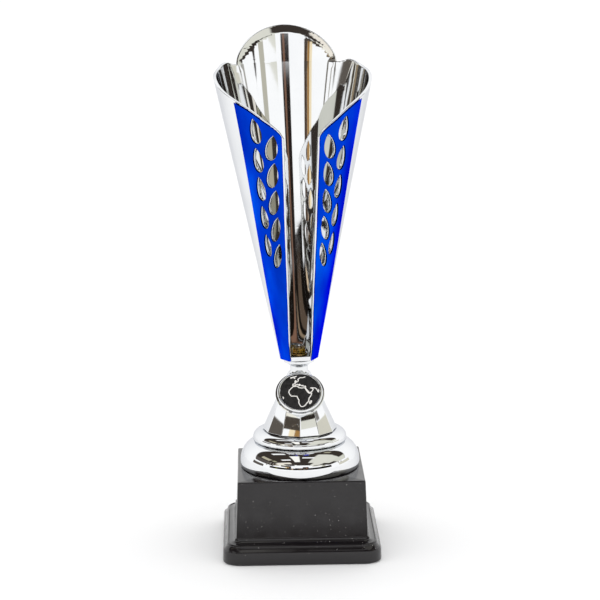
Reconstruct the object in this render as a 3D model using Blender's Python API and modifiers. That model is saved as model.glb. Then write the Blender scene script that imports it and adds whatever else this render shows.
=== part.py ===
# Column trophy: a chromed cup with blue perforated wings on a faceted riser, two foot domes and a plinth.
# Units are metres, +Z is up, the front looks along -Y and the foot stands on Z = 0.
import math

import bmesh
import bpy
from mathutils import Matrix, Vector

# ---- driving dimensions ----
joint_gap = 0.0003            # air left between two pieces that touch

foot_half = 0.0438            # plinth foot, half its width
foot_corner = 0.0095
foot_height = 0.0138
body_half_bottom = 0.0363     # plinth body, tapered
body_half_top = 0.0350
body_corner = 0.0010
body_edge_round = 0.0007
plinth_height = 0.0448
plinth_wall = 0.0022
deck_thickness = 0.0025
sheet_thickness = 0.0008
ballast_top = 0.0290
ballast_edge_round = 0.0010

rod_radius = 0.0020           # M4 threaded rod
hole_radius = 0.0023
rod_bottom = 0.0352
rod_top = 0.1141
rod_chamfer = 0.0004
nut_across_flats = 0.0070
nut_height = 0.0032
nut_chamfer = 0.0003
washer_radius = 0.0045
washer_thickness = 0.0008

dome_wall = 0.0015
dome_shoulder_bulge = 1.08    # above 1 the shoulder is squarer than an ellipse
lower_dome_radius = 0.0334
lower_dome_top = 0.0598
lower_dome_shoulder = 0.0225
lower_dome_skirt = 0.0026     # upright part below the curve
upper_dome_radius = 0.0263
upper_dome_top = 0.0658
upper_dome_shoulder = 0.0205
upper_dome_skirt = 0.0010

riser_sides = 12
riser_bottom = upper_dome_top + joint_gap
riser_bottom_radius = 0.0209
riser_top = 0.0985
riser_top_radius = 0.0062
riser_wall = 0.0016
riser_hollow_top = 0.0860
neck_radius = 0.0050
neck_top = 0.1024
neck_edge_round = 0.0005

emblem_tilt = math.radians(44)              # how far the emblem's face leans back
emblem_centre = Vector((0, -0.0148, 0.0897))
boss_radius = 0.0137                        # the slanted plate that carries the emblem
boss_thickness = 0.0012
boss_stem_radius = 0.0040
boss_stem_length = 0.0090
bezel_outer = 0.0126
bezel_inner = 0.0112
bezel_height = 0.0018
bezel_edge_round = 0.0006
disc_radius = 0.0109
disc_thickness = 0.0006
disc_chamfer = 0.0001
pad_radius = 0.0100
pad_thickness = 0.0004

collar_rim_radius = 0.0086                  # the small flared ring under the cup
collar_rim_height = 0.0012
collar_foot_radius = 0.0058

cup_bottom = 0.1062
cup_bottom_radius = 0.01065                 # across the hexagon's corners
cup_flare = 0.2082                          # radius gained per unit of height
round_height = 0.2674                       # here the hexagon has become a circle
cup_wall = 0.0018
cup_turn_at_rest = math.radians(4.5)        # the clamped cup stands slightly turned on its rod
cup_lean = math.radians(0.7)                # and leans a little to its left; 0 sets it upright
lip_height = 0.0028                         # closed ring below the front slot
slot_half_bottom = 0.0059
slot_spread = 0.0260                        # slot half width gained per unit of height
slot_top_angle = 14.6                       # degrees from the front
notch_angle = 139.0
notch_height = 0.2674
petal_rise = 0.0203
rim_band = 0.0042                           # the petal's top band leans further out
rim_band_flare = 0.16

skin_thickness = 0.0007
skin_margin = 0.0012                        # bare chrome left along the slot and the rim
skin_margin_foot = 0.25                     # share of that margin left at the cup's bottom
skin_margin_rise = 0.08                     # the margin widens over about this height
skin_foot_gap = 0.0004
skin_angle_top = 55.3
skin_angle_gain = 24.7

leaf_rows = 5
leaf_width = 0.0073
leaf_width_last = 0.0047
# each column of leaves: tip and foot of its top leaf, then of its bottom leaf, as (angle, height)
leaf_columns = [((39.0, 0.2442), (37.0, 0.2310), (45.0, 0.1799), (44.3, 0.1676)),
                ((22.8, 0.2352), (27.6, 0.2221), (26.8, 0.1748), (35.6, 0.1614))]


# ---- scene, collections, materials ----
for old in list(bpy.data.objects):
    bpy.data.objects.remove(old, do_unlink=True)

trophy = bpy.data.collections.new("column_trophy")
cutters = bpy.data.collections.new("cutters")
bpy.context.scene.collection.children.link(trophy)
bpy.context.scene.collection.children.link(cutters)


def make_material(name, colour, roughness, metallic):
    material = bpy.data.materials.new(name)
    material.use_nodes = True
    material.diffuse_color = (*colour, 1)
    shader = material.node_tree.nodes["Principled BSDF"]
    shader.inputs["Base Color"].default_value = (*colour, 1)
    shader.inputs["Roughness"].default_value = roughness
    shader.inputs["Metallic"].default_value = metallic
    return material


chrome = make_material("plated_chrome", (0.86, 0.87, 0.88), 0.05, 1.0)
blue_lacquer = make_material("blue_lacquer", (0.0, 0.03, 0.80), 0.12, 0.6)
black_plastic = make_material("gloss_black_plastic", (0.012, 0.011, 0.012), 0.12, 0.0)
zinc_steel = make_material("bright_zinc_steel", (0.62, 0.63, 0.65), 0.30, 1.0)
yellow_zinc = make_material("yellow_zinc_steel", (0.80, 0.62, 0.22), 0.28, 1.0)
cement = make_material("cast_cement", (0.36, 0.35, 0.33), 0.95, 0.0)
card = make_material("black_card", (0.03, 0.03, 0.03), 0.90, 0.0)
foam_tape = make_material("foam_tape", (0.70, 0.70, 0.68), 0.80, 0.0)
printed_disc = make_material("printed_black_disc", (0.02, 0.02, 0.02), 0.25, 0.3)


# ---- modelling helpers ----
def add_object(name, mesh, material, collection=trophy, parent=None):
    thing = bpy.data.objects.new(name, mesh)
    collection.objects.link(thing)
    if material is not None:
        mesh.materials.append(material)
    if parent is not None:
        thing.parent = parent
    if collection is cutters:
        thing.hide_render = True
        thing.display_type = "WIRE"
    return thing


def mesh_from(name, build):
    work = bmesh.new()
    build(work)
    mesh = bpy.data.meshes.new(name)
    work.to_mesh(mesh)
    work.free()
    return mesh


def add_turned(name, profile, material, steps=48, parent=None, closed=True, collection=trophy):
    def build(work):
        points = [work.verts.new((radius, 0, height)) for radius, height in profile]
        for first, second in zip(points, points[1:]):
            work.edges.new((first, second))
        if closed:
            work.edges.new((points[-1], points[0]))

    turned = add_object(name, mesh_from(name, build), material, collection, parent)
    screw = turned.modifiers.new("turn", "SCREW")
    screw.axis = "Z"
    screw.steps = steps
    screw.render_steps = steps
    screw.use_merge_vertices = True
    screw.merge_threshold = 0.00001
    return turned


def add_prism(name, sides, radius_bottom, radius_top, bottom, top, material, parent=None, collection=trophy):
    def build(work):
        bmesh.ops.create_cone(work, cap_ends=True, segments=sides, radius1=radius_bottom,
                              radius2=radius_top, depth=top - bottom,
                              matrix=Matrix.Translation((0, 0, (bottom + top) / 2)))

    return add_object(name, mesh_from(name, build), material, collection, parent)


def add_boolean(target, cutter, operation="DIFFERENCE"):
    cut = target.modifiers.new(operation.lower() + "_" + cutter.name, "BOOLEAN")
    cut.operation = operation
    cut.object = cutter
    cut.solver = "EXACT"


def add_bevel(target, width, segments=2, angle=30):
    bevel = target.modifiers.new("rounded_edges", "BEVEL")
    bevel.width = width
    bevel.segments = segments
    bevel.limit_method = "ANGLE"
    bevel.angle_limit = math.radians(angle)


def add_rounded_block(name, rows, corner, material, collection=trophy, corner_segments=5):
    # rows are (half width, height) from the bottom up; each row is an extrusion of the one below
    def build(work):
        first_half, first_height = rows[0]
        bmesh.ops.create_cube(work, size=1, matrix=Matrix.Diagonal((2 * first_half, 2 * first_half, 1, 1)))
        uprights = [edge for edge in work.edges if abs(edge.verts[0].co.z - edge.verts[1].co.z) > 0.5]
        bmesh.ops.bevel(work, geom=uprights, offset=corner, segments=corner_segments, profile=0.5,
                        affect="EDGES")
        for vert in work.verts:
            upper = vert.co.z > 0
            vert.co.z = rows[1][1] if upper else first_height
            if upper:
                vert.co.xy *= rows[1][0] / first_half
        work.normal_update()
        top_face = max(work.faces, key=lambda face: face.calc_center_median().z)
        for (half_below, height_below), (half, height) in zip(rows[1:], rows[2:]):
            grown = bmesh.ops.extrude_discrete_faces(work, faces=[top_face])
            top_face = grown["faces"][0]
            for vert in top_face.verts:
                vert.co.xy *= half / half_below
                vert.co.z = height
        bmesh.ops.recalc_face_normals(work, faces=work.faces)

    return add_object(name, mesh_from(name, build), material, collection)


def quarter_arc(start, end, bulge, count):
    # points of an elliptic quarter from start (widest) to end (highest); bulge > 1 squares the shoulder
    points = []
    for step in range(count + 1):
        angle = math.radians(90) * step / count
        across = math.cos(angle) ** (1 / bulge)
        up = math.sin(angle) ** (1 / bulge)
        points.append((end[0] + (start[0] - end[0]) * across, start[1] + (end[1] - start[1]) * up))
    return points


# ---- plinth ----
def build_plinth():
    # skirt, ledge, bead and cove, as (how far in from the skirt, height)
    moulding = [(0.0006, 0), (0, 0.0008), (0.0002, 0.0070), (0.0008, 0.0077), (0.0020, 0.0090),
                (0.0021, 0.0100), (0.0027, 0.0105), (0.0050, 0.0112), (0.0064, 0.0125),
                (0.0070, foot_height)]
    foot_rows = [(foot_half - inward, height) for inward, height in moulding]
    plinth = add_rounded_block("plinth_shell", foot_rows, foot_corner, black_plastic)
    body_rows = [(body_half_bottom, foot_height - 0.0040),
                 (body_half_top, plinth_height)]
    body = add_rounded_block("plinth_body", body_rows, body_corner, None, cutters, corner_segments=2)
    add_bevel(body, body_edge_round, angle=60)
    add_boolean(plinth, body, "UNION")
    hollow_rows = [(body_half_bottom - plinth_wall, -0.001),
                   (body_half_top - plinth_wall, plinth_height - deck_thickness)]
    hollow = add_rounded_block("plinth_hollow", hollow_rows, body_corner, None, cutters, corner_segments=2)
    add_boolean(plinth, hollow)
    rod_hole = add_prism("plinth_rod_hole", 24, hole_radius, hole_radius, plinth_height - 0.006,
                         plinth_height + 0.002, None, collection=cutters)
    add_boolean(plinth, rod_hole)


def build_base_filling():
    inner_half = body_half_bottom - plinth_wall - joint_gap
    sheet_rows = [(inner_half, 0), (inner_half, sheet_thickness)]
    add_rounded_block("bottom_sheet", sheet_rows, body_corner, card, corner_segments=2)
    taper = (body_half_bottom - body_half_top) / (plinth_height + 0.001)
    ballast_bottom = sheet_thickness + joint_gap
    rows = [(inner_half - taper * ballast_bottom - joint_gap, ballast_bottom),
            (inner_half - taper * ballast_top - joint_gap, ballast_top)]
    ballast = add_rounded_block("ballast_block", rows, body_corner, cement, corner_segments=2)
    add_bevel(ballast, ballast_edge_round, angle=60)


# ---- clamping hardware ----
def add_washer(name, bottom, material, parent=None):
    profile = [(hole_radius, bottom + washer_thickness), (washer_radius, bottom + washer_thickness),
               (washer_radius, bottom), (hole_radius, bottom)]
    return add_turned(name, profile, material, steps=32, parent=parent)


def add_nut(name, bottom, material, parent=None):
    corner_radius = nut_across_flats / math.sqrt(3)
    nut = add_prism(name, 6, corner_radius, corner_radius, bottom, bottom + nut_height, material, parent)
    add_bevel(nut, nut_chamfer, segments=1, angle=80)
    bore = add_prism(name + "_bore", 24, hole_radius, hole_radius, bottom - 0.001,
                     bottom + nut_height + 0.001, None, parent, cutters)
    add_boolean(nut, bore)
    return nut


def build_hardware(cup_axis):
    deck_underside = plinth_height - deck_thickness
    washer_bottom = deck_underside - joint_gap - washer_thickness
    add_washer("plinth_washer", washer_bottom, zinc_steel)
    add_nut("plinth_nut", washer_bottom - joint_gap - nut_height, zinc_steel)
    rod = add_prism("tie_rod", 24, rod_radius, rod_radius, rod_bottom, rod_top, zinc_steel)
    add_bevel(rod, rod_chamfer, segments=1, angle=60)
    floor_top = cup_bottom + cup_wall
    cup_washer_bottom = floor_top + joint_gap
    add_washer("cup_washer", cup_washer_bottom, yellow_zinc, cup_axis)
    add_nut("cup_nut", cup_washer_bottom + washer_thickness + joint_gap, yellow_zinc, cup_axis)


# ---- foot domes ----
def add_dome(name, bottom, radius, top, shoulder_radius, skirt):
    outer = quarter_arc((radius, bottom + skirt), (shoulder_radius, top), dome_shoulder_bulge, 9)
    inner = [(across - dome_wall, height - dome_wall * (height - bottom) / (top - bottom))
             for across, height in outer]
    profile = [(hole_radius, top)] + outer[::-1] + [(radius - 0.0002, bottom), (radius - dome_wall, bottom)]
    profile += inner + [(hole_radius, top - dome_wall)]
    return add_turned(name, profile, chrome, steps=72)


def build_foot():
    add_dome("foot_lower_dome", plinth_height + joint_gap, lower_dome_radius, lower_dome_top,
             lower_dome_shoulder, lower_dome_skirt)
    add_dome("foot_upper_dome", lower_dome_top + joint_gap, upper_dome_radius, upper_dome_top,
             upper_dome_shoulder, upper_dome_skirt)


# ---- riser with the emblem's slanted plate ----
def add_emblem_seat():
    seat = bpy.data.objects.new("emblem_seat", None)
    trophy.objects.link(seat)
    seat.location = emblem_centre
    seat.rotation_euler = (math.pi / 2 - emblem_tilt, 0, 0)
    return seat


def build_riser(seat):
    riser = add_prism("riser_column", riser_sides, riser_bottom_radius, riser_top_radius, riser_bottom,
                      riser_top, chrome)
    neck = add_prism("riser_neck", 32, neck_radius, neck_radius, riser_top - 0.004, neck_top, None,
                     collection=cutters)
    add_bevel(neck, neck_edge_round, segments=2, angle=60)
    add_boolean(riser, neck, "UNION")
    plate_profile = [(0, 0), (boss_radius - 0.0004, 0), (boss_radius, -0.0004),
                     (boss_radius, -boss_thickness),
                     (boss_stem_radius, -boss_thickness - boss_stem_length),
                     (0, -boss_thickness - boss_stem_length)]
    plate = add_turned("emblem_plate", plate_profile, None, steps=56, parent=seat, closed=False,
                       collection=cutters)
    add_boolean(riser, plate, "UNION")

    share = (riser_hollow_top - riser_bottom) / (riser_top - riser_bottom)
    hollow_top_radius = riser_bottom_radius + (riser_top_radius - riser_bottom_radius) * share - riser_wall
    hollow = add_prism("riser_hollow", riser_sides, riser_bottom_radius - riser_wall, hollow_top_radius,
                       riser_bottom - 0.0004, riser_hollow_top, None, collection=cutters)
    add_boolean(riser, hollow)
    rod_hole = add_prism("riser_rod_hole", 24, hole_radius, hole_radius, riser_hollow_top - 0.004,
                         neck_top + 0.002, None, collection=cutters)
    add_boolean(riser, rod_hole)


def build_emblem(seat):
    inner_round = bezel_edge_round / 2
    bezel_profile = [(bezel_inner, bezel_height - inner_round), (bezel_inner + inner_round, bezel_height),
                     (bezel_outer - bezel_edge_round, bezel_height),
                     (bezel_outer, bezel_height - bezel_edge_round), (bezel_outer, joint_gap),
                     (bezel_inner, joint_gap)]
    add_turned("emblem_bezel", bezel_profile, chrome, steps=64, parent=seat)
    pad_top = joint_gap + pad_thickness
    disc_bottom = pad_top + joint_gap
    add_prism("emblem_pad", 32, pad_radius, pad_radius, joint_gap, pad_top, foam_tape, seat)
    disc = add_prism("emblem_disc", 64, disc_radius, disc_radius, disc_bottom,
                     disc_bottom + disc_thickness, printed_disc, seat)
    add_bevel(disc, disc_chamfer, segments=1, angle=60)


# ---- cup ----
def smooth_through(points, x):
    # a Catmull-Rom curve through (x, y) points
    last = len(points) - 1
    index = max(i for i in range(last) if i == 0 or points[i][0] <= x)
    x0, y0 = points[index]
    x1, y1 = points[index + 1]
    before = points[max(index - 1, 0)]
    after = points[min(index + 2, last)]
    slope0 = (y1 - before[1]) / (x1 - before[0])
    slope1 = (after[1] - y0) / (after[0] - x0)
    t = min(max((x - x0) / (x1 - x0), 0), 1)
    span = x1 - x0
    return ((2 * t**3 - 3 * t**2 + 1) * y0 + (t**3 - 2 * t**2 + t) * span * slope0
            + (3 * t**2 - 2 * t**3) * y1 + (t**3 - t**2) * span * slope1)


# the rim's height over the angle from the front, from the slot's corner back to the lobe and the notch
rim_points = [(slot_top_angle, 0.2338), (18.2, 0.2377), (29.8, 0.2438), (44.6, 0.2503), (70, 0.2573),
              (95, 0.2637), (112, 0.2664), (127, 0.2693), (134.5, 0.2680), (notch_angle, notch_height)]


def rim_height(angle):
    angle = abs(angle)
    if angle <= notch_angle:
        return smooth_through(rim_points, angle)
    across = min((180 - angle) / (180 - notch_angle - 1.0), 1)
    return notch_height + petal_rise * (1 - across**1.9) ** 0.757


def wall_radius(angle, height):
    # a hexagon with corners at 30, 90 and 150 degrees that turns into a circle higher up; the middle of
    # each flat runs straight up the wall
    from_facet = (abs(angle) + 30) % 60 - 30
    hexagon = math.cos(math.radians(30)) / math.cos(math.radians(from_facet))
    cone = cup_bottom_radius + cup_flare * (height - cup_bottom)
    flat_bottom = cup_bottom_radius * math.cos(math.radians(30))
    round_radius = cup_bottom_radius + cup_flare * (round_height - cup_bottom)
    share = (height - cup_bottom) / (round_height - cup_bottom)
    flat = flat_bottom + (round_radius - flat_bottom) * share
    blend = min(max(1 - (1 - flat / cone) / (1 - math.cos(math.radians(30))), 0), 1)
    radius = cone * (hexagon + (1 - hexagon) * blend)
    if abs(angle) > notch_angle:
        into_band = max(height - (rim_height(angle) - rim_band), 0)
        radius += into_band * rim_band_flare * min((abs(angle) - notch_angle) / 4, 1)
    return radius


def wall_point(angle, height, offset=0):
    radius = wall_radius(angle, height) + offset
    turn = math.radians(angle)
    return Vector((radius * math.sin(turn), -radius * math.cos(turn), height))


def slot_angle(height):
    half = slot_half_bottom + slot_spread * (height - cup_bottom)
    ratio = half / (cup_bottom_radius + cup_flare * (height - cup_bottom))
    return max(min(math.degrees(math.asin(ratio)), 30.0), slot_top_angle - 0.4)


def skin_angle(height):
    share = min(max((rim_height(skin_angle_top) - height) / (rim_height(skin_angle_top) - cup_bottom), 0), 1)
    return skin_angle_top + skin_angle_gain * share**2.2


def build_cup_shell(cup_axis):
    # columns run from the slot's edge round the back; the first ones close up where the rim turns steeply
    front_share = [0, 0.02, 0.05, 0.09, 0.15, 0.24, 0.36, 0.50, 0.64, 0.78, 0.90, 1]
    side_angles = [96, 102, 108, 114, 120, 125, 130, 134, 137, 139, 140, 141, 143, 146, 150, 155,
                   160, 165, 170, 175, 180]
    rows = 18
    slot_bottom = cup_bottom + lip_height

    def column_point(column, height):
        if column < len(front_share):
            start = slot_angle(height)
            return wall_point(start + (90 - start) * front_share[column], height)
        return wall_point(side_angles[column - len(front_share)], height)

    def column_top(column):
        if column < len(front_share):
            return rim_height(slot_top_angle + (90 - slot_top_angle) * front_share[column])
        return rim_height(side_angles[column - len(front_share)])

    def build(work):
        half_columns = len(front_share) + len(side_angles)
        strips = []
        for column in range(half_columns):
            top = column_top(column)
            band_bottom = top - rim_band
            heights = [slot_bottom + (band_bottom - slot_bottom) * row / (rows - 1) for row in range(rows)]
            heights.append(top)
            strips.append([column_point(column, cup_bottom)] + [column_point(column, z) for z in heights])
        mirrored = [[Vector((-p.x, p.y, p.z)) for p in strip] for strip in strips[-2::-1]]
        grid = [[work.verts.new(point) for point in strip] for strip in strips + mirrored]
        for left, right in zip(grid, grid[1:]):
            for low in range(rows + 1):
                work.faces.new((left[low], right[low], right[low + 1], left[low + 1]))
        # the closed ring under the slot
        front_angles = [18, 6, -6, -18]
        lip = [grid[0]]
        for angle in front_angles:
            lip.append([work.verts.new(wall_point(angle, z)) for z in (cup_bottom, slot_bottom)])
        lip.append(grid[-1])
        for left, right in zip(lip, lip[1:]):
            work.faces.new((right[0], left[0], left[1], right[1]))
        # the floor, from the outer ring to the rod's hole
        outer = [strip[0] for strip in grid] + [strip[0] for strip in lip[-2:0:-1]]
        inner = []
        for vert in outer:
            towards = Vector((vert.co.x, vert.co.y, 0)).normalized() * hole_radius
            inner.append(work.verts.new((towards.x, towards.y, cup_bottom)))
        for index in range(len(outer)):
            following = (index + 1) % len(outer)
            work.faces.new((outer[following], outer[index], inner[index], inner[following]))
        bmesh.ops.recalc_face_normals(work, faces=work.faces)
        wall_face = grid[20][6].link_faces[0]
        outward = wall_face.calc_center_median()
        if wall_face.normal.xy.dot(outward.xy) < 0:
            bmesh.ops.reverse_faces(work, faces=work.faces)

    shell = add_object("cup_shell", mesh_from("cup_shell", build), chrome, trophy, cup_axis)
    thickness = shell.modifiers.new("wall", "SOLIDIFY")
    thickness.thickness = cup_wall
    thickness.offset = -1
    thickness.use_even_offset = True
    return shell


def build_leaf_cutters(cup_axis):
    # two columns of leaf openings on each wing, tips up, leaning away from each other
    outline = bpy.data.curves.new("leaf_outline", "CURVE")
    outline.dimensions = "2D"
    outline.fill_mode = "BOTH"
    outline.extrude = 0.5
    spline = outline.splines.new("POLY")
    count = 18
    spline.points.add(count - 1)
    for index, point in enumerate(spline.points):
        turn = 2 * math.pi * index / count
        across = 0.5 * math.sin(turn) * (0.5 - 0.5 * math.cos(turn)) ** 0.28
        point.co = (across, 0.5 * math.cos(turn), 0, 1)
    spline.use_cyclic_u = True
    holder = bpy.data.objects.new("leaf_outline", outline)
    cutters.objects.link(holder)
    prism = bpy.data.meshes.new_from_object(holder.evaluated_get(bpy.context.evaluated_depsgraph_get()))
    bpy.data.objects.remove(holder, do_unlink=True)

    def build(work):
        single = bmesh.new()
        single.from_mesh(prism)
        bmesh.ops.remove_doubles(single, verts=single.verts, dist=0.0001)
        for side in (-1, 1):
            for row in range(leaf_rows):
                share = row / (leaf_rows - 1)
                width = leaf_width + (leaf_width_last - leaf_width) * share
                for top_tip, top_foot, last_tip, last_foot in leaf_columns:
                    tip = Vector(top_tip).lerp(Vector(last_tip), share)
                    foot = Vector(top_foot).lerp(Vector(last_foot), share)
                    high = wall_point(side * tip[0], tip[1])
                    low = wall_point(side * foot[0], foot[1])
                    middle_angle = side * (tip[0] + foot[0]) / 2
                    centre = wall_point(middle_angle, (tip[1] + foot[1]) / 2)
                    along = (high - low).normalized()
                    outward = Vector((math.sin(math.radians(middle_angle)),
                                      -math.cos(math.radians(middle_angle)), -cup_flare))
                    outward = (outward - along * outward.dot(along)).normalized()
                    across = along.cross(outward)
                    place = Matrix((across, along, outward)).transposed().to_4x4()
                    place.translation = centre
                    place = place @ Matrix.Diagonal((width, (high - low).length, 0.010, 1))
                    copy = single.copy()
                    copy.transform(place)
                    spare = bpy.data.meshes.new("leaf")
                    copy.to_mesh(spare)
                    work.from_mesh(spare)
                    copy.free()
                    bpy.data.meshes.remove(spare)
        single.free()

    return add_object("leaf_cutters", mesh_from("leaf_cutters", build), None, cutters, cup_axis)


def build_wing_skins(cup_axis, leaves):
    rows = 16
    shares = [0, 0.03, 0.08, 0.16, 0.28, 0.42, 0.56, 0.70, 0.85, 1]
    for side, name in ((-1, "wing_skin_left"), (1, "wing_skin_right")):
        def build(work, side=side):
            grid = []
            for share in shares:
                strip = []
                start_top = slot_top_angle + math.degrees(skin_margin / wall_radius(0, rim_points[0][1]))
                top = rim_height(start_top + (skin_angle_top - start_top) * share) - skin_margin
                for row in range(rows + 1):
                    foot = cup_bottom + skin_foot_gap
                    height = foot + (top - foot) * row / rows
                    widened = skin_margin_foot + (height - cup_bottom) / skin_margin_rise
                    margin = skin_margin * min(1, widened)
                    start = slot_angle(height) + math.degrees(margin / wall_radius(30, height))
                    angle = start + (skin_angle(height) - start) * share
                    strip.append(work.verts.new(wall_point(side * angle, height, joint_gap)))
                grid.append(strip)
            for left, right in zip(grid, grid[1:]):
                for low in range(rows):
                    work.faces.new((left[low], right[low], right[low + 1], left[low + 1]))
            bmesh.ops.recalc_face_normals(work, faces=work.faces)
            face = work.faces[:][0]
            if face.normal.xy.dot(face.calc_center_median().xy) < 0:
                bmesh.ops.reverse_faces(work, faces=work.faces)

        skin = add_object(name, mesh_from(name, build), blue_lacquer, trophy, cup_axis)
        thickness = skin.modifiers.new("sheet", "SOLIDIFY")
        thickness.thickness = skin_thickness
        thickness.offset = 1
        add_boolean(skin, leaves)


def build_cup(cup_axis):
    shell = build_cup_shell(cup_axis)
    leaves = build_leaf_cutters(cup_axis)
    add_boolean(shell, leaves)
    build_wing_skins(cup_axis, leaves)
    collar_top = cup_bottom - joint_gap
    collar_bottom = neck_top + joint_gap
    rim_bottom = collar_top - collar_rim_height
    collar_profile = [(hole_radius, collar_top), (collar_rim_radius - 0.0002, collar_top),
                      (collar_rim_radius, collar_top - 0.0004), (collar_rim_radius, rim_bottom),
                      (collar_rim_radius - 0.0010, rim_bottom - 0.0006),
                      (collar_foot_radius + 0.0004, collar_bottom + 0.0006),
                      (collar_foot_radius, collar_bottom), (hole_radius, collar_bottom)]
    add_turned("cup_collar", collar_profile, chrome, steps=48, parent=cup_axis)


cup_axis = bpy.data.objects.new("cup_axis", None)
trophy.objects.link(cup_axis)
pivot = Matrix.Translation((0, 0, neck_top + joint_gap))
cup_axis.matrix_world = (pivot @ Matrix.Rotation(-cup_lean, 4, "Y")
                         @ Matrix.Rotation(cup_turn_at_rest, 4, "Z") @ pivot.inverted())

emblem_seat = add_emblem_seat()

build_plinth()
build_base_filling()
build_foot()
build_riser(emblem_seat)
build_emblem(emblem_seat)
build_cup(cup_axis)
build_hardware(cup_axis)
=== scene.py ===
import math

import bmesh
import bpy
from mathutils import Matrix, Vector
from mathutils.kdtree import KDTree


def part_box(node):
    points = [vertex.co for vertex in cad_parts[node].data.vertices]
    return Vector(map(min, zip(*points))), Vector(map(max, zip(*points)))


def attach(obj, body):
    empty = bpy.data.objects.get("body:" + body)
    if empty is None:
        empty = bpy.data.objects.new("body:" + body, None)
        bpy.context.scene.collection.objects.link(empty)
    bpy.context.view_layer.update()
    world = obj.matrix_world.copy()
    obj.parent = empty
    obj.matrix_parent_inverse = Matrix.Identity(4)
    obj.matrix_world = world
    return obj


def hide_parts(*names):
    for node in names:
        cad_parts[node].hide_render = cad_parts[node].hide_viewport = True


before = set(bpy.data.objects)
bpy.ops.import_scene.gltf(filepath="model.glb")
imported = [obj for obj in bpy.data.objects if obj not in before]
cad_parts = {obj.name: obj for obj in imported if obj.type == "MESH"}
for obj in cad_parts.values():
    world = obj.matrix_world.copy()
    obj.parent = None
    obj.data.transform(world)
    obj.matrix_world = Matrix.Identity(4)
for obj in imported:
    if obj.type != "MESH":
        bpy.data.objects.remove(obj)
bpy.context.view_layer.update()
print("frame loaded:", len(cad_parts), "nodes")


# small tools
weldDistance = 0.000001
cutDistance = 0.0000005


def linearColour(code):
    channels = []
    for start in (0, 2, 4):
        value = int(code[start:start + 2], 16) / 255
        channels.append(value / 12.92 if value <= 0.04045 else ((value + 0.055) / 1.055) ** 2.4)
    return (*channels, 1.0)


def setInputs(node, inputs):
    # each input takes a plain value or another node's output socket
    for name, value in inputs.items():
        if isinstance(value, bpy.types.NodeSocket):
            node.id_data.links.new(value, node.inputs[name])
        else:
            node.inputs[name].default_value = value


def addNode(tree, kind, inputs=None, stops=(), **settings):
    # stops are a colour ramp's positions and colours
    node = tree.nodes.new(kind)
    for name, value in settings.items():
        setattr(node, name, value)
    setInputs(node, inputs or {})
    for index, (position, code) in enumerate(stops):
        elements = node.color_ramp.elements
        element = elements[index] if index < len(elements) else elements.new(position)
        element.position = position
        element.color = linearColour(code)
    return node


def newMaterial(name, base, metallic, roughness, **sockets):
    material = bpy.data.materials.new(name)
    material.use_nodes = True
    shader = material.node_tree.nodes["Principled BSDF"]
    shader.inputs["Base Color"].default_value = linearColour(base)
    shader.inputs["Metallic"].default_value = metallic
    shader.inputs["Roughness"].default_value = roughness
    for socket, value in sockets.items():
        shader.inputs[socket.replace("_", " ")].default_value = value
    return material, material.node_tree, shader


def newPiece(name, mesh, material, body, replaced=(), smoothAngle=35):
    piece = bpy.data.objects.new(name, mesh)
    bpy.context.scene.collection.objects.link(piece)
    mesh.materials.clear()
    mesh.materials.append(material)
    mesh.polygons.foreach_set("use_smooth", [True] * len(mesh.polygons))
    mesh.set_sharp_from_angle(angle=math.radians(smoothAngle))
    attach(piece, body)
    for node in replaced:
        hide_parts(node)
    return piece


def bakeObject(thing):
    # the evaluated object as a plain welded mesh in world place
    graph = bpy.context.evaluated_depsgraph_get()
    mesh = bpy.data.meshes.new_from_object(thing.evaluated_get(graph))
    mesh.transform(thing.matrix_world)
    work = bmesh.new()
    work.from_mesh(mesh)
    bmesh.ops.remove_doubles(work, verts=work.verts, dist=weldDistance)
    work.to_mesh(mesh)
    work.free()
    data = thing.data
    bpy.data.objects.remove(thing, do_unlink=True)
    if isinstance(data, bpy.types.Curve):
        bpy.data.curves.remove(data)
    return mesh


def joinMeshes(meshes):
    work = bmesh.new()
    for mesh in meshes:
        work.from_mesh(mesh)
    joined = bpy.data.meshes.new("joined")
    work.to_mesh(joined)
    work.free()
    return joined


def turnedMesh(profile, steps, place=Matrix.Identity(4)):
    # profile points (radius, height) run down the outer side; a closed ring when no point is on the axis
    mesh = bpy.data.meshes.new("profile")
    work = bmesh.new()
    points = [work.verts.new((radius, 0, height)) for radius, height in profile]
    for first, second in zip(points, points[1:]):
        work.edges.new((first, second))
    if profile[0][0] > 0:
        work.edges.new((points[-1], points[0]))
    work.to_mesh(mesh)
    work.free()
    thing = bpy.data.objects.new("turning", mesh)
    bpy.context.scene.collection.objects.link(thing)
    thing.matrix_world = place
    screw = thing.modifiers.new("turn", "SCREW")
    screw.steps = steps
    screw.render_steps = steps
    screw.use_merge_vertices = True
    screw.merge_threshold = weldDistance
    bpy.context.view_layer.update()
    return bakeObject(thing)


def roundedProfile(corners, steps=5):
    # corners are (radius, height, rounding); each corner becomes a short arc
    points = []
    for index, (across, up, rounding) in enumerate(corners):
        here = Vector((across, up))
        if rounding == 0:
            points.append((across, up))
            continue
        before = Vector(corners[index - 1][:2])
        after = Vector(corners[(index + 1) % len(corners)][:2])
        toBefore = (before - here).normalized() * rounding
        toAfter = (after - here).normalized() * rounding
        for step in range(steps + 1):
            t = step / steps
            point = here + toBefore * (1 - t) ** 2 + toAfter * t**2
            points.append((point.x, point.y))
    return points


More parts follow.
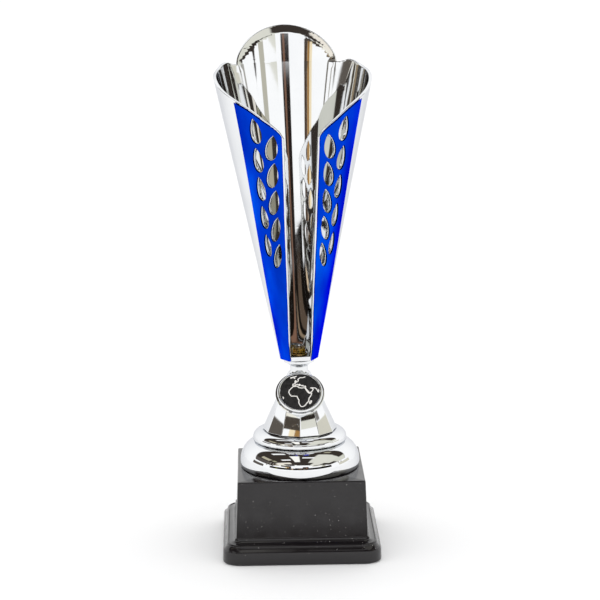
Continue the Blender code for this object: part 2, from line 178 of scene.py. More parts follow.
# finishes
def makeChrome():
    # chrome plating on polished ABS: mirror bright, with the moulding's faint waviness and handling smears
    material, tree, shader = newMaterial("chromePlatedAbs", "EEF0F2", 1.0, 0.035)
    coords = addNode(tree, "ShaderNodeTexCoord").outputs["Object"]
    smears = addNode(tree, "ShaderNodeTexNoise", {"Vector": coords, "Scale": 60.0,
                                                  "Detail": 5.0}).outputs["Fac"]
    gloss = addNode(tree, "ShaderNodeMapRange", {"Value": smears, "From Min": 0.35, "From Max": 0.75,
                                                 "To Min": 0.02, "To Max": 0.06})
    waves = addNode(tree, "ShaderNodeTexNoise", {"Vector": coords, "Scale": 90.0, "Detail": 2.0})
    bump = addNode(tree, "ShaderNodeBump", {"Height": waves.outputs["Fac"], "Strength": 0.10,
                                            "Distance": 0.00006})
    tint = addNode(tree, "ShaderNodeMix", {0: smears, 6: linearColour("F2F3F4"),
                                           7: linearColour("E4E6E8")}, data_type="RGBA")
    # the plating darkens a little at a glancing view
    setInputs(shader, {"Base Color": tint.outputs[2], "Roughness": gloss.outputs["Result"],
                       "Specular Tint": linearColour("DCDDE0"), "Normal": bump.outputs["Normal"]})
    return material


def makeBlueLacquer():
    # tinted clear lacquer over the plating: a deep blue mirror, a little softened, that goes
    # greener blue at a glancing view; painted shade darkens the openings' rounded edges and walls
    material, tree, shader = newMaterial("blueTintLacquer", "0028E0", 1.0, 0.24)
    coords = addNode(tree, "ShaderNodeTexCoord").outputs["Object"]
    drift = addNode(tree, "ShaderNodeMapping", {"Vector": coords, "Scale": (1.0, 1.0, 0.35)})
    depth = addNode(tree, "ShaderNodeTexNoise", {"Vector": drift.outputs["Vector"], "Scale": 55.0,
                                                 "Detail": 3.0})
    colour = addNode(tree, "ShaderNodeValToRGB", {"Fac": depth.outputs["Fac"]},
                     stops=((0.34, "0030B4"), (0.52, "003CCC"), (0.68, "0056E6")))
    paintedEdgeShade = addNode(tree, "ShaderNodeAttribute", attribute_name="openingEdgeShade")
    # painted shade: the openings' marked edges are mixed towards blue-black
    tint = addNode(tree, "ShaderNodeMix", {0: paintedEdgeShade.outputs["Fac"], 6: colour.outputs["Color"],
                                           7: linearColour("000A3C")}, data_type="RGBA")
    peel = addNode(tree, "ShaderNodeTexNoise", {"Vector": coords, "Scale": 700.0, "Detail": 2.0})
    bump = addNode(tree, "ShaderNodeBump", {"Height": peel.outputs["Fac"], "Strength": 0.12,
                                            "Distance": 0.00004})
    setInputs(shader, {"Base Color": tint.outputs[2], "Specular Tint": linearColour("0A78FF"),
                       "Normal": bump.outputs["Normal"]})
    return material


def makeBlackPlinthPlastic():
    # injection moulded gloss ABS: black with a faint brown cast, fine scuffs and settled dust
    material, tree, shader = newMaterial("glossBlackAbs", "161315", 0.0, 0.16, IOR=1.52)
    coords = addNode(tree, "ShaderNodeTexCoord").outputs["Object"]
    dust = addNode(tree, "ShaderNodeTexVoronoi", {"Vector": coords, "Scale": 420.0, "Randomness": 1.0})
    speck = addNode(tree, "ShaderNodeMapRange", {"Value": dust.outputs["Distance"], "From Min": 0.05,
                                                 "From Max": 0.11, "To Min": 1.0, "To Max": 0.0})
    patchy = addNode(tree, "ShaderNodeTexNoise", {"Vector": coords, "Scale": 38.0, "Detail": 4.0})
    where = addNode(tree, "ShaderNodeMapRange", {"Value": patchy.outputs["Fac"], "From Min": 0.54,
                                                 "From Max": 0.66})
    amount = addNode(tree, "ShaderNodeMath", {0: speck.outputs["Result"], 1: where.outputs["Result"]},
                     operation="MULTIPLY")
    colour = addNode(tree, "ShaderNodeMix", {0: amount.outputs[0], 6: linearColour("161315"),
                                             7: linearColour("8C8885")}, data_type="RGBA")
    scuffs = addNode(tree, "ShaderNodeTexNoise", {"Vector": coords, "Scale": 130.0,
                                                  "Detail": 8.0}).outputs["Fac"]
    gloss = addNode(tree, "ShaderNodeMapRange", {"Value": scuffs, "From Min": 0.3, "From Max": 0.8,
                                                 "To Min": 0.10, "To Max": 0.26})
    bump = addNode(tree, "ShaderNodeBump", {"Height": scuffs, "Strength": 0.08, "Distance": 0.00005})
    setInputs(shader, {"Base Color": colour.outputs[2], "Roughness": gloss.outputs["Result"],
                       "Normal": bump.outputs["Normal"]})
    return material


def makeYellowZinc():
    # yellow passivated zinc on steel: brassy with pink and green drift
    material, tree, shader = newMaterial("yellowZincSteel", "D9B45A", 1.0, 0.24)
    coords = addNode(tree, "ShaderNodeTexCoord").outputs["Object"]
    drift = addNode(tree, "ShaderNodeTexNoise", {"Vector": coords, "Scale": 350.0,
                                                 "Detail": 3.0}).outputs["Fac"]
    colour = addNode(tree, "ShaderNodeValToRGB", {"Fac": drift},
                     stops=((0.32, "C7B255"), (0.68, "EBC083")))
    bump = addNode(tree, "ShaderNodeBump", {"Height": drift, "Strength": 0.15, "Distance": 0.00005})
    setInputs(shader, {"Base Color": colour.outputs["Color"], "Normal": bump.outputs["Normal"]})
    return material


def makeBrightZinc():
    # clear passivated zinc on steel: grey bright with a crystalline bloom
    material, tree, shader = newMaterial("brightZincSteel", "BFC2C6", 1.0, 0.30)
    coords = addNode(tree, "ShaderNodeTexCoord").outputs["Object"]
    bloom = addNode(tree, "ShaderNodeTexVoronoi", {"Vector": coords, "Scale": 900.0})
    gloss = addNode(tree, "ShaderNodeMapRange", {"Value": bloom.outputs["Distance"], "To Min": 0.22,
                                                 "To Max": 0.42})
    setInputs(shader, {"Roughness": gloss.outputs["Result"]})
    return material


def makePrintedBlack():
    # black screen print under a clear skin on foil: deep black with a soft sheen
    material, tree, shader = newMaterial("blackPrintedFoil", "0B0B0B", 0.0, 0.18, Coat_Weight=0.4,
                                         Coat_Roughness=0.08)
    coords = addNode(tree, "ShaderNodeTexCoord").outputs["Object"]
    grain = addNode(tree, "ShaderNodeTexNoise", {"Vector": coords, "Scale": 500.0, "Detail": 4.0})
    colour = addNode(tree, "ShaderNodeValToRGB", {"Fac": grain.outputs["Fac"]},
                     stops=((0.35, "050505"), (0.75, "262425")))
    setInputs(shader, {"Base Color": colour.outputs["Color"]})
    return material


def makeBareFoil():
    # the foil left bare in the print: bright, slightly satin silver
    material, tree, shader = newMaterial("bareSilverFoil", "F4F1EC", 0.15, 0.30)
    coords = addNode(tree, "ShaderNodeTexCoord").outputs["Object"]
    grain = addNode(tree, "ShaderNodeTexNoise", {"Vector": coords, "Scale": 800.0, "Detail": 2.0})
    gloss = addNode(tree, "ShaderNodeMapRange", {"Value": grain.outputs["Fac"], "To Min": 0.22,
                                                 "To Max": 0.40})
    setInputs(shader, {"Roughness": gloss.outputs["Result"]})
    return material


def makeGrainy(name, dark, light, roughness, scale, depth):
    # plain matt stuff: cast cement, black card, dust or foam tape, told apart by colour and grain
    material, tree, shader = newMaterial(name, light, 0.0, roughness)
    coords = addNode(tree, "ShaderNodeTexCoord").outputs["Object"]
    grain = addNode(tree, "ShaderNodeTexNoise", {"Vector": coords, "Scale": scale,
                                                 "Detail": 8.0}).outputs["Fac"]
    colour = addNode(tree, "ShaderNodeValToRGB", {"Fac": grain}, stops=((0.3, dark), (0.7, light)))
    bump = addNode(tree, "ShaderNodeBump", {"Height": grain, "Strength": 0.5, "Distance": depth})
    setInputs(shader, {"Base Color": colour.outputs["Color"], "Normal": bump.outputs["Normal"]})
    return material


chrome = makeChrome()
blueLacquer = makeBlueLacquer()
blackPlastic = makeBlackPlinthPlastic()
yellowZinc = makeYellowZinc()
brightZinc = makeBrightZinc()
printedBlack = makePrintedBlack()
bareFoil = makeBareFoil()
castCement = makeGrainy("castCement", "5E5B56", "97938B", 0.95, 220.0, 0.0003)
blackCard = makeGrainy("blackPaperCard", "0C0C0C", "262524", 0.92, 900.0, 0.0001)
dustGrey = makeGrainy("settledDust", "A9A6A2", "E2DFDB", 0.95, 1500.0, 0.00002)
foamTape = makeGrainy("whiteFoamTape", "B9B7B0", "DDDBD4", 0.85, 600.0, 0.0001)
print("finishes made")


# plinth
plinthSizes = {
    "footHalf": (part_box("plinth_shell")[1][0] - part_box("plinth_shell")[0][0]) / 2 - 0.00005,
    "bodyBottom": 0.0363,
    "bodyTop": 0.0350,
    "bodyCorner": 0.0009,
    "bodyFoot": 0.0138,  # height where the body's straight taper starts
    "height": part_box("plinth_shell")[1][2],
    "wall": 0.0022,
    "deck": 0.0025,
    "edge": 0.0005,
    "holeHalf": 0.0018,
    "insideCorner": 0.0008,
    # the skirt and its ledge: how far in from the skirt, height, corner radius
    "skirt": [(0.0006, 0.0, 0.0092), (0.0001, 0.0004, 0.0095), (0.0, 0.0010, 0.0095),
              (0.0002, 0.0066, 0.0095), (0.0003, 0.0071, 0.0095), (0.0007, 0.0074, 0.0093),
              (0.0012, 0.0078, 0.0092), (0.0020, 0.0088, 0.0090), (0.0023, 0.0096, 0.0089)],
    "bead": 0.0009,
    "beadIn": 0.0023,
    "beadHeight": 0.0098,
    "beadCorner": 0.0088,
    "coveIn": 0.0029,
    "coveBottom": 0.0104,
    "coveRise": 0.0022,
    "coveCorner": 0.0016,
    "lipRound": 0.0005,
    "lipHeight": 0.0128,
}


def squareRing(half, corner, steps):
    # one quarter-arc at each corner of a square outline, anticlockwise from above
    points = []
    for turn, (signX, signY) in enumerate(((1, 1), (-1, 1), (-1, -1), (1, -1))):
        centre = Vector((signX * (half - corner), signY * (half - corner)))
        for step in range(steps + 1):
            angle = math.radians(90) * (turn + step / steps)
            points.append((centre.x + corner * math.cos(angle), centre.y + corner * math.sin(angle)))
    return points


def loftRings(rings, capped=True):
    # rings are lists of 3-D points of one length, from the bottom of the outside up
    work = bmesh.new()
    rows = [[work.verts.new(point) for point in ring] for ring in rings]
    count = len(rows[0])
    for low, high in zip(rows, rows[1:]):
        for index in range(count):
            following = (index + 1) % count
            work.faces.new((low[index], low[following], high[following], high[index]))
    if capped:
        work.faces.new(rows[0][::-1])
        work.faces.new(rows[-1])
    mesh = bpy.data.meshes.new("loft")
    work.to_mesh(mesh)
    work.free()
    return mesh


def newTree(name, inputs, takesMesh=False):
    # an empty geometry tree with named inputs given as (name, socket kind)
    tree = bpy.data.node_groups.new(name, "GeometryNodeTree")
    tree.interface.new_socket("Geometry", in_out="OUTPUT", socket_type="NodeSocketGeometry")
    if takesMesh:
        tree.interface.new_socket("Geometry", in_out="INPUT", socket_type="NodeSocketGeometry")
    for label, kind in inputs:
        tree.interface.new_socket(label, in_out="INPUT", socket_type=kind)
    return tree, addNode(tree, "NodeGroupInput").outputs


def finishTree(tree, geometry, material):
    # every tree ends in real geometry with its finish set
    real = addNode(tree, "GeometryNodeRealizeInstances", {"Geometry": geometry}).outputs["Geometry"]
    finished = addNode(tree, "GeometryNodeSetMaterial", {"Geometry": real, "Material": material})
    addNode(tree, "NodeGroupOutput", {"Geometry": finished.outputs["Geometry"]})


def grow(tree, values, mesh=None, bevel=0.0):
    # run a tree on an object, with its inputs set by identifier, and return the plain mesh
    thing = bpy.data.objects.new(tree.name, mesh or bpy.data.meshes.new(tree.name))
    bpy.context.scene.collection.objects.link(thing)
    nodes = thing.modifiers.new(tree.name, "NODES")
    nodes.node_group = tree
    for item in tree.interface.items_tree:
        if item.in_out == "INPUT" and item.name in values:
            nodes[item.identifier] = values[item.name]
    if bevel:
        rounding = thing.modifiers.new("crispEdges", "BEVEL")
        rounding.width = bevel
        rounding.segments = 3
        rounding.limit_method = "ANGLE"
        rounding.angle_limit = math.radians(20)
    bpy.context.view_layer.update()
    return bakeObject(thing)


dustSizes = {
    "density": 90000.0,  # specks per square metre where it is dusty
    "seed": 11,
    "speck": 0.00011,
    "smallest": 0.5,
    "largest": 1.7,
}


def makeDust(surface):
    # settled dust: flattened grains scattered where a noise says the plinth was not wiped
    sizes = dustSizes
    tree, given = newTree("plinthDust", (("Density", "NodeSocketFloat"), ("Seed", "NodeSocketInt"),
                                         ("Speck", "NodeSocketFloat")), takesMesh=True)
    patches = addNode(tree, "ShaderNodeTexNoise", {"Scale": 42.0, "Detail": 2.0}).outputs["Fac"]
    dusty = addNode(tree, "ShaderNodeMapRange", {"Value": patches, "From Min": 0.52, "From Max": 0.80,
                                                 "To Min": 0.03, "To Max": 1.0}).outputs["Result"]
    density = addNode(tree, "ShaderNodeMath", {0: dusty, 1: given["Density"]}, operation="MULTIPLY")
    points = addNode(tree, "GeometryNodeDistributePointsOnFaces",
                     {"Mesh": given["Geometry"], "Density": density.outputs[0],
                      "Seed": given["Seed"]}).outputs
    grain = addNode(tree, "GeometryNodeMeshIcoSphere", {"Radius": given["Speck"], "Subdivisions": 1})
    flat = addNode(tree, "GeometryNodeTransform", {"Geometry": grain.outputs["Mesh"],
                                                   "Scale": (1.0, 1.0, 0.25)})
    size = addNode(tree, "FunctionNodeRandomValue", {"Seed": given["Seed"], 2: sizes["smallest"],
                                                     3: sizes["largest"]}, data_type="FLOAT")
    placed = addNode(tree, "GeometryNodeInstanceOnPoints",
                     {"Points": points["Points"], "Instance": flat.outputs["Geometry"],
                      "Rotation": points["Rotation"], "Scale": size.outputs[1]}).outputs["Instances"]
    finishTree(tree, placed, dustGrey)
    mesh = grow(tree, {"Density": sizes["density"], "Seed": sizes["seed"],
                       "Speck": sizes["speck"]}, surface)
    newPiece("plinthDust", mesh, dustGrey, "base")


def makePlinth():
    sizes = plinthSizes
    foot = sizes["footHalf"]
    body = sizes["bodyBottom"]
    edge = sizes["edge"]
    # (half width, height, corner): skirt, ledge, bead, cove, then the tapered body up to the deck
    rows = [(foot - inward, height, corner) for inward, height, corner in sizes["skirt"]]
    bead = sizes["bead"]
    for step in range(7):
        angle = math.radians(15 * step)
        rows.append((foot - sizes["beadIn"] - bead + bead * math.cos(angle),
                     sizes["beadHeight"] + bead * math.sin(angle), sizes["beadCorner"]))
    coveWidth = foot - sizes["coveIn"] - body - 0.0006
    for step in range(1, 10):
        angle = math.radians(10 * step)
        corner = sizes["beadCorner"] + (sizes["coveCorner"] - sizes["beadCorner"]) * step / 9
        rows.append((foot - sizes["coveIn"] - coveWidth * math.sin(angle),
                     sizes["coveBottom"] + sizes["coveRise"] * (1 - math.cos(angle)), corner))
    for step in range(1, 6):
        angle = math.radians(18 * step)
        rows.append((body + 0.0001 + sizes["lipRound"] * math.cos(angle),
                     sizes["lipHeight"] + sizes["lipRound"] * math.sin(angle), sizes["bodyCorner"]))
    rows.append((body - 0.0001, sizes["bodyFoot"], sizes["bodyCorner"]))
    rows.append((sizes["bodyTop"] + 0.0001, sizes["height"] - edge * 2, sizes["bodyCorner"]))
    for step in range(6):
        angle = math.radians(90) * step / 5
        rows.append((sizes["bodyTop"] - edge + edge * math.cos(angle),
                     sizes["height"] - edge + edge * math.sin(angle), sizes["bodyCorner"]))
    # the rod's hole, the deck's underside and the inner wall
    underside = sizes["height"] - sizes["deck"]
    rows.append((sizes["holeHalf"], sizes["height"], sizes["holeHalf"] * 0.99))
    rows.append((sizes["holeHalf"], underside, sizes["holeHalf"] * 0.99))
    rows.append((sizes["bodyTop"] - sizes["wall"], underside, sizes["insideCorner"]))
    rows.append((body - sizes["wall"], 0.0, sizes["insideCorner"]))
    outline = [[(x, y, height) for x, y in squareRing(half, corner, 6)] for half, height, corner in rows]
    makeDust(loftRings(outline[:-4], capped=False))
    outline.append(outline[0])
    mesh = loftRings(outline, capped=False)
    work = bmesh.new()
    work.from_mesh(mesh)
    bmesh.ops.remove_doubles(work, verts=work.verts, dist=weldDistance)
    bmesh.ops.recalc_face_normals(work, faces=work.faces)
    work.to_mesh(mesh)
    work.free()
    newPiece("plinthMoulding", mesh, blackPlastic, "base", ["plinth_shell"], 28)


makePlinth()
print("plinth done")


# foot domes and riser
footSizes = {
    "hole": 0.0023,
    "wall": 0.0015,
    "lowerSkirt": 0.0026,
    "upperSkirt": 0.0010,
    "lowerShoulder": 0.0225,
    "upperShoulder": 0.0205,
    "squareness": 1.08,
    "turns": 144,
}


def domeProfile(node, shoulder, skirt):
    low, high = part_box(node)
    bottom, top = low[2], high[2]
    radius = (high[0] - low[0]) / 2
    arcs = []
    for step in range(25):
        angle = math.radians(90) * step / 24
        across = math.cos(angle) ** (1 / footSizes["squareness"])
        up = math.sin(angle) ** (1 / footSizes["squareness"])
        arcs.append((shoulder + (radius - shoulder) * across, bottom + skirt + (top - bottom - skirt) * up))
    wall = footSizes["wall"]
    inner = [(across - wall, height - wall * (height - bottom) / (top - bottom)) for across, height in arcs]
    edge = [(radius - 0.0001, bottom + 0.0003), (radius - 0.0004, bottom), (radius - wall, bottom)]
    return [(footSizes["hole"], top)] + arcs[::-1] + edge + inner + [(footSizes["hole"], top - wall)]


for level in ("lower", "upper"):
    node = f"foot_{level}_dome"
    profile = domeProfile(node, footSizes[level + "Shoulder"], footSizes[level + "Skirt"])
    newPiece(level + "Dome", turnedMesh(profile, footSizes["turns"]), chrome, "base", [node], 50)

riserSizes = {
    "sides": 12,
    "bottom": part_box("riser_column")[0][2],
    "bottomRadius": 0.0209,
    "top": 0.0985,
    "topRadius": 0.0062,
    "cornerRounding": 0.0003,
    "neckRadius": 0.0050,
    "neckRoot": 0.004,
    "neckTop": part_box("riser_column")[1][2],
    "plateRadius": 0.0137,
    "plateThickness": 0.0012,
    "stemRadius": 0.0040,
    "stemLength": 0.0090,
}
emblemSeat = {
    "centre": Vector((0, -0.0148, 0.0897)),
    "tilt": math.radians(44),
}
emblemPlace = (Matrix.Translation(emblemSeat["centre"])
               @ Matrix.Rotation(math.pi / 2 - emblemSeat["tilt"], 4, "X"))


def makeRiser():
    sizes = riserSizes
    # twelve flats: a cone of so many sides, set on the upper dome
    tree, given = newTree("riserFacets", (("Sides", "NodeSocketInt"), ("Bottom Radius", "NodeSocketFloat"),
                                          ("Top Radius", "NodeSocketFloat"), ("Bottom", "NodeSocketFloat"),
                                          ("Height", "NodeSocketFloat")))
    cone = addNode(tree, "GeometryNodeMeshCone", {"Vertices": given["Sides"], "Depth": given["Height"],
                                                  "Radius Bottom": given["Bottom Radius"],
                                                  "Radius Top": given["Top Radius"]})
    place = addNode(tree, "ShaderNodeCombineXYZ", {"Z": given["Bottom"]})
    seated = addNode(tree, "GeometryNodeTransform", {"Geometry": cone.outputs["Mesh"],
                                                     "Translation": place.outputs["Vector"]})
    finishTree(tree, seated.outputs["Geometry"], chrome)
    body = grow(tree, {"Sides": sizes["sides"], "Bottom Radius": sizes["bottomRadius"],
                       "Top Radius": sizes["topRadius"], "Bottom": sizes["bottom"],
                       "Height": sizes["top"] - sizes["bottom"]}, bevel=sizes["cornerRounding"])
    # the neck, with a small fillet where it meets the cone
    top = sizes["top"]
    neckTop = sizes["neckTop"]
    radius = sizes["neckRadius"]
    root = top - sizes["neckRoot"]
    neck = turnedMesh([(0, neckTop), (radius - 0.0004, neckTop), (radius, neckTop - 0.0004),
                       (radius, top + 0.0006), (radius + 0.0003, top + 0.0001),
                       (radius + 0.0009, top - 0.0004), (radius, root), (0, root)], 64)
    # the emblem's plate and the stem behind it
    radius = sizes["plateRadius"]
    back = -sizes["plateThickness"]
    stem = back - sizes["stemLength"]
    plate = turnedMesh([(0, 0), (radius - 0.0006, 0), (radius - 0.0002, -0.0002), (radius, -0.0006),
                        (radius, back + 0.0004), (radius - 0.0004, back), (sizes["stemRadius"], stem),
                        (0, stem)], 96, emblemPlace)
    newPiece("riserMoulding", joinMeshes([body, neck, plate]), chrome, "base", ["riser_column"],
             20)


makeRiser()
print("foot and riser done")


# emblem: a bezel, a black disc and a globe's outlines
emblemSizes = {
    "bezelInner": 0.0112,
    "bezelOuter": 0.0126,
    "bezelBase": 0.0003,
    "bezelTop": 0.0018,
    "discRadius": 0.0109,
    "discBase": 0.0010,
    "discTop": 0.0014,
    "globeRadius": 0.0117,
    "lineWidth": 0.00056,
    "lineHeight": 0.00006,
    "viewLongitude": 16.5,
    "viewLatitude": 19.0,
    "limbFacing": 0.02,  # outlines stop this close to the globe's edge
}

# rough outlines in degrees east and north
coastlines = {
    "africa": [(-6, 35), (10, 37), (11, 33), (20, 31), (32, 31), (35, 24), (39, 16), (43, 12), (51, 12),
               (47, 4), (41, -3), (40, -14), (35, -20), (32, -28), (26, -34), (19, -34), (15, -27),
               (12, -17), (13, -8), (9, 1), (8, 5), (-3, 5), (-8, 4), (-13, 9), (-17, 15), (-16, 22),
               (-10, 30), (-6, 35)],
    "europe": [(-5, 36), (-9, 38), (-9, 43), (-1, 44), (-4, 48), (3, 51), (8, 54), (10, 58), (5, 60),
               (12, 66), (22, 70), (34, 68), (50, 69), (68, 70)],
    "mediterranean": [(-5, 36), (0, 39), (5, 43), (11, 42), (16, 38), (14, 44), (20, 40), (24, 37),
                      (27, 40), (29, 36), (36, 36), (34, 31), (35, 28)],
    "arabia": [(35, 28), (40, 20), (44, 13), (53, 17), (59, 22), (56, 26), (50, 28), (57, 27), (66, 25)],
    "india": [(66, 25), (72, 21), (74, 14), (77, 8), (80, 14), (87, 21), (92, 22)],
    "madagascar": [(44, -16), (49, -13), (50, -18), (46, -25), (44, -22), (44, -16)],
    "southAmerica": [(-60, 8), (-50, 0), (-36, -6), (-38, -13), (-48, -27), (-56, -34)],
    "greenland": [(-45, 60), (-52, 66), (-56, 74), (-30, 82), (-20, 75), (-32, 68), (-45, 60)],
    "britain": [(-5, 50), (1, 52), (-3, 57), (-5, 55), (-5, 50)],
    "iceland": [(-22, 64), (-15, 64), (-17, 66), (-22, 64)],
}


def globePoint(longitude, latitude):
    # the sphere seen from far above the view's longitude and latitude, as a point on the disc
    turn = math.radians(longitude - emblemSizes["viewLongitude"])
    lat = math.radians(latitude)
    tilt = math.radians(emblemSizes["viewLatitude"])
    across = math.cos(lat) * math.sin(turn)
    up = math.cos(tilt) * math.sin(lat) - math.sin(tilt) * math.cos(lat) * math.cos(turn)
    facing = math.sin(tilt) * math.sin(lat) + math.cos(tilt) * math.cos(lat) * math.cos(turn)
    return across * emblemSizes["globeRadius"], up * emblemSizes["globeRadius"], facing


def makeEmblem():
    sizes = emblemSizes
    inner, outer = sizes["bezelInner"], sizes["bezelOuter"]
    base, top = sizes["bezelBase"], sizes["bezelTop"]
    bezel = roundedProfile([(inner, top - 0.0002, 0.0001), (inner + 0.0003, top, 0.0002),
                            (outer - 0.0006, top, 0.0004), (outer, top - 0.0008, 0.0003),
                            (outer, base, 0.0001), (inner, base, 0)])
    newPiece("emblemBezel", turnedMesh(bezel, 128, emblemPlace), chrome, "base", ["emblem_bezel"],
             40)
    radius, top = sizes["discRadius"], sizes["discTop"]
    disc = [(0, top), (radius - 0.0001, top), (radius, top - 0.0001), (radius, sizes["discBase"]),
            (0, sizes["discBase"])]
    newPiece("emblemDisc", turnedMesh(disc, 96, emblemPlace), printedBlack, "base", ["emblem_disc"])
    outlines = bpy.data.curves.new("coastlines", "CURVE")
    outlines.dimensions = "3D"
    outlines.bevel_depth = sizes["lineWidth"] / 2
    outlines.bevel_resolution = 2
    outlines.use_fill_caps = True
    reach = radius - sizes["lineWidth"]
    for points in coastlines.values():
        stations = []
        for start, end in zip(points, points[1:]):
            stations += [(start[0] + (end[0] - start[0]) * t, start[1] + (end[1] - start[1]) * t)
                         for t in (0, 0.25, 0.5, 0.75)]
        seen = []
        for station in stations + [points[-1]]:
            across, up, facing = globePoint(*station)
            if facing > sizes["limbFacing"] and math.hypot(across, up) < reach:
                seen.append((across, up))
        if len(seen) < 2:
            continue
        spline = outlines.splines.new("POLY")
        spline.points.add(len(seen) - 1)
        for target, (across, up) in zip(spline.points, seen):
            target.co = (across, up, 0, 1)
    holder = bpy.data.objects.new("coastlines", outlines)
    bpy.context.scene.collection.objects.link(holder)
    holder.matrix_world = (emblemPlace @ Matrix.Translation((0, 0, top + 0.00002))
                           @ Matrix.Diagonal((1, 1, 2 * sizes["lineHeight"] / sizes["lineWidth"], 1)))
    bpy.context.view_layer.update()
    newPiece("emblemOutlines", bakeObject(holder), bareFoil, "base")


makeEmblem()
print("emblem done")


# cup
cupSizes = {
    "bottom": 0.1062,
    "fitGap": 0.0003,
    "bottomRadius": 0.01065,
    "flare": 0.2082,
    "roundHeight": 0.2674,
    "wall": 0.0018,
    "turnAtRest": math.radians(4.5),
    "lean": math.radians(0.7),
    "pivotHeight": 0.1027,
    "lipHeight": 0.0028,
    "floorInset": 0.0012,
    "floorDraft": 0.0004,
    "floorLift": 0.0001,
    "slotHalfBottom": 0.0059,
    "slotSpread": 0.0260,
    "slotTopAngle": 14.6,
    "notchAngle": 139.0,
    "notchHeight": 0.2674,
    "petalRise": 0.0203,
    "petalShoulder": 1.9,
    "petalFall": 0.757,
    "rimBand": 0.0042,
    "rimBandFlare": 0.16,
    "edgeRounding": 0.0003,
    "columnStep": 2.5,
    "rowStep": 0.0035,
    "rowStepTop": 0.0010,
}
wingSizes = {
    "gap": 0.0003,
    "thickness": 0.0006,
    "edgeRounding": 0.00018,
    "footGap": 0.0003,
    "margin": 0.0010,
    "marginFoot": 0.1,  # share of the margin at the foot, widening over marginRise
    "marginRise": 0.08,
    "rimRadius": 0.037,
    "outerAngle": 55.3,
    "outerGain": 24.7,
    "leafRows": 5,
    "leafWidthFirst": 0.0076,
    "leafWidthLast": 0.0050,
    "leafRim": 0.00025,
    "leafSharpness": 0.28,
    "paintedShadeWidth": 0.0004,  # how far the painted shade reaches from an opening's edge
    # tip and foot of each column's top leaf, as (angle, height), then what its last leaf adds to them
    "leafColumns": [((39.0, 0.2442), (37.0, 0.2310), (6.0, -0.0643), (7.3, -0.0634)),
                    ((22.8, 0.2352), (27.6, 0.2221), (4.0, -0.0604), (8.0, -0.0607))],
}
# the rim's height over the angle from the front
rimPoints = [(14.6, 0.2338), (18.2, 0.2377), (29.8, 0.2438), (44.6, 0.2503), (70, 0.2573), (95, 0.2637),
             (112, 0.2664), (127, 0.2693), (134.5, 0.2680), (139, 0.2674)]
cupPlace = (Matrix.Translation((0, 0, cupSizes["pivotHeight"])) @ Matrix.Rotation(-cupSizes["lean"], 4, "Y")
            @ Matrix.Rotation(cupSizes["turnAtRest"], 4, "Z")
            @ Matrix.Translation((0, 0, -cupSizes["pivotHeight"])))


def smoothThrough(points, x):
    # a Catmull-Rom curve through (x, y) points
    last = len(points) - 1
    index = max(i for i in range(last) if i == 0 or points[i][0] <= x)
    x0, y0 = points[index]
    x1, y1 = points[index + 1]
    before = points[max(index - 1, 0)]
    after = points[min(index + 2, last)]
    slope0 = (y1 - before[1]) / (x1 - before[0])
    slope1 = (after[1] - y0) / (after[0] - x0)
    t = min(max((x - x0) / (x1 - x0), 0), 1)
    span = x1 - x0
    return ((2 * t**3 - 3 * t**2 + 1) * y0 + (t**3 - 2 * t**2 + t) * span * slope0
            + (3 * t**2 - 2 * t**3) * y1 + (t**3 - t**2) * span * slope1)


def rimHeight(angle):
    angle = abs(angle)
    angle = min(angle, 360 - angle)
    if angle <= cupSizes["notchAngle"]:
        return smoothThrough(rimPoints, angle)
    across = min((180 - angle) / (180 - cupSizes["notchAngle"] - 1.0), 1)
    across **= cupSizes["petalShoulder"]
    return cupSizes["notchHeight"] + cupSizes["petalRise"] * (1 - across) ** cupSizes["petalFall"]


def coneRadius(height):
    return cupSizes["bottomRadius"] + cupSizes["flare"] * (height - cupSizes["bottom"])


def wallPoint(angle, height, offset=0.0):
    # the hexagonal foot turns into a circle higher up, with the middle of each flat straight up the wall;
    # the petal's top band leans further out
    folded = abs((angle + 180) % 360 - 180)
    flatRatio = math.cos(math.radians(30))
    hexagon = flatRatio / math.cos(math.radians((folded + 30) % 60 - 30))
    share = (height - cupSizes["bottom"]) / (cupSizes["roundHeight"] - cupSizes["bottom"])
    flatBottom = cupSizes["bottomRadius"] * flatRatio
    flat = flatBottom + (coneRadius(cupSizes["roundHeight"]) - flatBottom) * share
    blend = min(max(1 - (1 - flat / coneRadius(height)) / (1 - flatRatio), 0), 1)
    radius = coneRadius(height) * (hexagon + (1 - hexagon) * blend) + offset
    if folded > cupSizes["notchAngle"]:
        intoBand = max(height - (rimHeight(folded) - cupSizes["rimBand"]), 0)
        radius += intoBand * cupSizes["rimBandFlare"] * min((folded - cupSizes["notchAngle"]) / 4, 1)
    turn = math.radians(angle)
    return Vector((radius * math.sin(turn), -radius * math.cos(turn), height))


def slotAngle(height):
    half = cupSizes["slotHalfBottom"] + cupSizes["slotSpread"] * (height - cupSizes["bottom"])
    angle = math.degrees(math.asin(half / coneRadius(height)))
    return max(min(angle, 30.0), cupSizes["slotTopAngle"] - 0.4)


def wingAngle(height):
    top = rimHeight(wingSizes["outerAngle"])
    share = min(max((top - height) / (top - cupSizes["bottom"]), 0), 1)
    return wingSizes["outerAngle"] + wingSizes["outerGain"] * share**2.2


def flatPoint(angle, height):
    # the wall unrolled: across is the arc at that height, up is the height
    return math.radians(angle) * coneRadius(height), height


